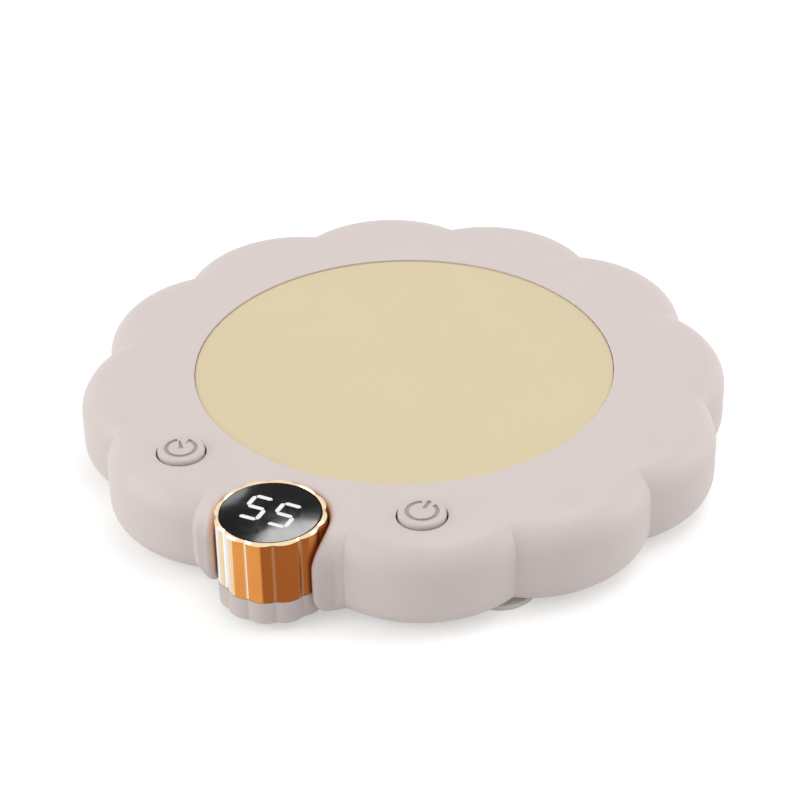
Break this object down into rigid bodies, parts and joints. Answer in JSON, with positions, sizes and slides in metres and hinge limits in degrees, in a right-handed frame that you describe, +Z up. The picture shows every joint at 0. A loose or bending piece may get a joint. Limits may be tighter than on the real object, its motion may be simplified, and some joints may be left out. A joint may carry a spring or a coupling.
{
  "type": "mug warmer",
  "caption": "Low flower-shaped mug warmer with a recessed round hot plate, a fluted knob round a digital display and push buttons beside it.",
  "frame": {"origin": "centre of the hot plate's top face, where a cup stands", "axes": "+Z up, out of the hot plate; the knob lies towards -Y and the power socket towards +Y; +X is to the right as seen from the knob"},
  "size_m": [0.13, 0.1325, 0.0199],
  "materials": {
    "housing": "fine satin moulded plastic, warm greyish white",
    "plate_coating": "beige heat-proof coating, satin",
    "gold": "polished golden plating",
    "lens": "glossy smoked lens",
    "light_guide": "white light guide, lit",
    "button_plastic": "satin moulded plastic, warm greyish white",
    "foot_rubber": "matt grey soft rubber",
    "silicone": "translucent grey silicone",
    "film": "amber heat-proof film",
    "foil": "etched resistance foil",
    "aluminium": "plain rolled sheet",
    "felt": "white ceramic felt",
    "steel": "zinc-plated steel",
    "board": "green lacquered glass-fibre board",
    "chip": "black moulded epoxy",
    "connector": "off-white nylon",
    "sleeve_red": "red wire sleeve",
    "sleeve_white": "white wire sleeve",
    "ribbon": "grey flat lead",
    "bead": "black glazed bead",
    "post_plastic": "black moulded plastic",
    "reflector": "white reflector block"
  },
  "bodies": {
    "root": {"top_shell": "housing", "base_cover": "housing", "hot_plate": "plate_coating", "plate_seal": "silicone", "heater_film": "film", "heater_track": "foil", "heat_spreader": "aluminium", "insulation_pad": "felt", "heater_pan": "steel", "pan_screws": "steel", "thermistor": "bead", "sensor_leads": "sleeve_white", "heater_leads": "sleeve_red", "thermal_fuse": "aluminium", "fuse_leads": "sleeve_red", "fuse_clip": "steel", "main_board": "board", "power_inlet": "steel", "control_chip": "chip", "power_transistor": "chip", "filter_capacitor": "aluminium", "buzzer": "chip", "board_connectors": "connector", "panel_lead": "ribbon", "main_board_screws": "steel", "control_board": "board", "control_board_screws": "steel", "left_switch": "chip", "right_switch": "chip", "encoder_board": "board", "knob_plinth": "housing", "display_column": "post_plastic", "display_module": "reflector", "display_lens": "lens", "digit_segments": "light_guide", "display_lead": "ribbon", "display_screws": "steel", "base_screws": "steel", "feet": "foot_rubber"},
    "knob": {"knob_sleeve": "gold", "encoder_rotor": "post_plastic"},
    "left_button": {"left_button": "button_plastic", "left_switch_plunger": "chip"},
    "right_button": {"right_button": "button_plastic", "right_switch_plunger": "chip"}
  },
  "joints": [
    {"name": "knob_turn", "type": "hinge", "parent": "root", "child": "knob", "pos_m": [0, -0.05715, 0], "axis": [0, 0, 1], "continuous": true},
    {"name": "left_button_press", "type": "slide", "parent": "root", "child": "left_button", "axis": [0, 0, -1], "range_m": [0, 0.0005], "stiffness_N_per_m": 1500, "springref_m": -0.0003},
    {"name": "right_button_press", "type": "slide", "parent": "root", "child": "right_button", "axis": [0, 0, -1], "range_m": [0, 0.0005], "stiffness_N_per_m": 1500, "springref_m": -0.0003}
  ]
}
